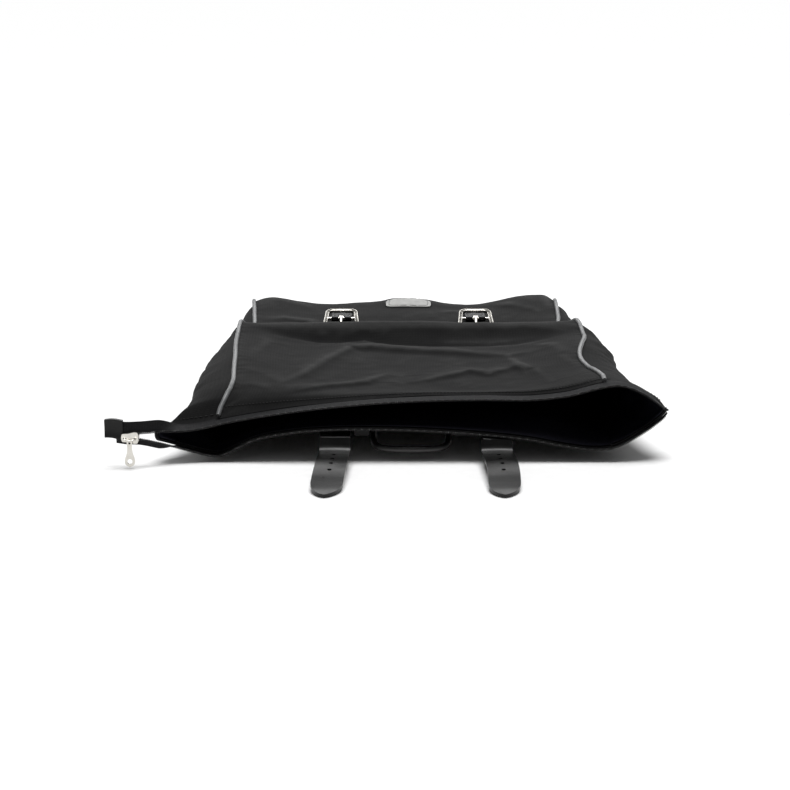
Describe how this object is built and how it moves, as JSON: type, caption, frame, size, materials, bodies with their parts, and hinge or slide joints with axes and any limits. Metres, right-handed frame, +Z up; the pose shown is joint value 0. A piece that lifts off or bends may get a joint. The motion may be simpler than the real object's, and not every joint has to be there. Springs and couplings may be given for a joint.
{
  "type": "pannier bag",
  "caption": "Empty canvas bicycle pannier bag lying on its back, with a zipped roll-down top, strap-and-buckle closure, grab handle and rack hooks.",
  "frame": {"origin": "middle of the footprint of the bag lying on its back, on the floor", "axes": "+X across the bag, +Y from the mouth to the bottom of the bag, +Z up from the back panel to the front panel"},
  "size_m": [0.518, 0.626, 0.0781],
  "materials": {
    "canvas": "black waxed cotton canvas, fine plain weave",
    "lining": "blue-black coated nylon lining",
    "piping": "grey vinyl piping",
    "board": "black polypropylene sheet",
    "zip_tape": "black woven polyester tape",
    "zip_coil": "black nylon coil",
    "strap_leather": "black glazed strap leather",
    "label_leather": "grey rubbed leather",
    "handle_cord": "black rolled leather",
    "nickel": "polished nickel plate",
    "steel": "zinc plated steel",
    "anodised_rail": "black anodised aluminium",
    "nylon": "moulded black glass-filled nylon",
    "nylon_lever": "moulded dark grey nylon"
  },
  "bodies": {
    "bag_body": {"front_panel_lower": "canvas", "back_panel_lower": "canvas", "left_gusset_lower": "canvas", "right_gusset_lower": "canvas", "bottom_panel": "canvas", "lining_lower": "lining", "back_board": "board", "base_board": "board", "left_piping_lower": "piping", "right_piping_lower": "piping", "label_patch": "label_leather", "left_buckle_chape": "strap_leather", "right_buckle_chape": "strap_leather", "chape_rivets": "nickel", "rack_rail": "anodised_rail", "rail_end_caps": "nylon", "rail_screws": "steel", "rail_plates": "steel", "rail_nuts": "steel", "lower_hook_plate": "nylon", "lower_hook_pivot_screw": "steel", "lower_hook_screws": "steel", "lower_hook_nuts": "steel"},
    "roll_top": {"front_panel_upper": "canvas", "back_panel_upper": "canvas", "left_gusset_upper": "canvas", "right_gusset_upper": "canvas", "lining_upper": "lining", "left_piping_upper": "piping", "right_piping_upper": "piping", "zip_tape_front": "zip_tape", "zip_tape_back": "zip_tape", "zip_coil_front": "zip_coil", "zip_coil_back": "zip_coil", "zip_end_tab": "strap_leather", "zip_top_stops": "nickel", "left_strap_base": "strap_leather", "right_strap_base": "strap_leather", "strap_rivets": "nickel", "handle_anchors": "strap_leather", "handle_rivets": "nickel"},
    "zip_slider": {"zip_slider": "nickel"},
    "zip_pull": {"zip_pull": "nickel"},
    "left_strap": {"left_strap": "strap_leather"},
    "right_strap": {"right_strap": "strap_leather"},
    "grab_handle": {"grab_handle": "handle_cord"},
    "left_buckle": {"left_buckle_frame": "nickel"},
    "right_buckle": {"right_buckle_frame": "nickel"},
    "left_tongue": {"left_buckle_tongue": "nickel"},
    "right_tongue": {"right_buckle_tongue": "nickel"},
    "left_hook": {"left_rack_hook": "nylon"},
    "right_hook": {"right_rack_hook": "nylon"},
    "left_lever": {"left_hook_lever": "nylon_lever"},
    "right_lever": {"right_hook_lever": "nylon_lever"},
    "lower_hook": {"lower_hook_fin": "nylon"}
  },
  "joints": [
    {"name": "roll_top_fold", "type": "hinge", "parent": "bag_body", "child": "roll_top", "pos_m": [0.024, -0.015, 0.079], "axis": [-1, 0, 0], "range_deg": [0, 170]},
    {"name": "zip_travel", "type": "slide", "parent": "roll_top", "child": "zip_slider", "axis": [0.9964, 0, 0.0847], "range_m": [0, 0.47]},
    {"name": "zip_pull_swing", "type": "hinge", "parent": "zip_slider", "child": "zip_pull", "pos_m": [-0.233, -0.2154, 0.026], "axis": [-1, 0, 0], "range_deg": [0, 90]},
    {"name": "grab_handle_swing", "type": "hinge", "parent": "roll_top", "child": "grab_handle", "pos_m": [0.024, -0.144, 0.018], "axis": [1, 0, 0], "range_deg": [0, 110]},
    {"name": "left_strap_lift", "type": "hinge", "parent": "roll_top", "child": "left_strap", "pos_m": [-0.051, -0.2006, 0.0249], "axis": [1, 0, 0], "range_deg": [-85, 0]},
    {"name": "left_buckle_tilt", "type": "hinge", "parent": "bag_body", "child": "left_buckle", "pos_m": [-0.051, 0.188, 0.0634], "axis": [1, 0, 0], "range_deg": [-8, 2]},
    {"name": "left_tongue_swing", "type": "hinge", "parent": "left_buckle", "child": "left_tongue", "pos_m": [-0.051, 0.188, 0.0634], "axis": [-1, 0, 0], "range_deg": [0, 115]},
    {"name": "left_hook_slide", "type": "slide", "parent": "bag_body", "child": "left_hook", "axis": [1, 0, 0], "range_m": [-0.038, 0.038]},
    {"name": "left_lever_press", "type": "hinge", "parent": "left_hook", "child": "left_lever", "pos_m": [-0.076, 0.045, 0.01725], "axis": [1, 0, 0], "range_deg": [0, 30], "stiffness_Nm_per_rad": 0.02, "springref_deg": -20.05},
    {"name": "right_strap_lift", "type": "hinge", "parent": "roll_top", "child": "right_strap", "pos_m": [0.099, -0.2006, 0.0249], "axis": [1, 0, 0], "range_deg": [-85, 0]},
    {"name": "right_buckle_tilt", "type": "hinge", "parent": "bag_body", "child": "right_buckle", "pos_m": [0.099, 0.188, 0.0634], "axis": [1, 0, 0], "range_deg": [-8, 2]},
    {"name": "right_tongue_swing", "type": "hinge", "parent": "right_buckle", "child": "right_tongue", "pos_m": [0.099, 0.188, 0.0634], "axis": [-1, 0, 0], "range_deg": [0, 115]},
    {"name": "right_hook_slide", "type": "slide", "parent": "bag_body", "child": "right_hook", "axis": [1, 0, 0], "range_m": [-0.038, 0.038]},
    {"name": "right_lever_press", "type": "hinge", "parent": "right_hook", "child": "right_lever", "pos_m": [0.124, 0.045, 0.01725], "axis": [1, 0, 0], "range_deg": [0, 30], "stiffness_Nm_per_rad": 0.02, "springref_deg": -20.05},
    {"name": "lower_hook_turn", "type": "hinge", "parent": "bag_body", "child": "lower_hook", "pos_m": [0.024, 0.208, 0.0015], "axis": [0, 0, 1], "range_deg": [-90, 90]}
  ]
}
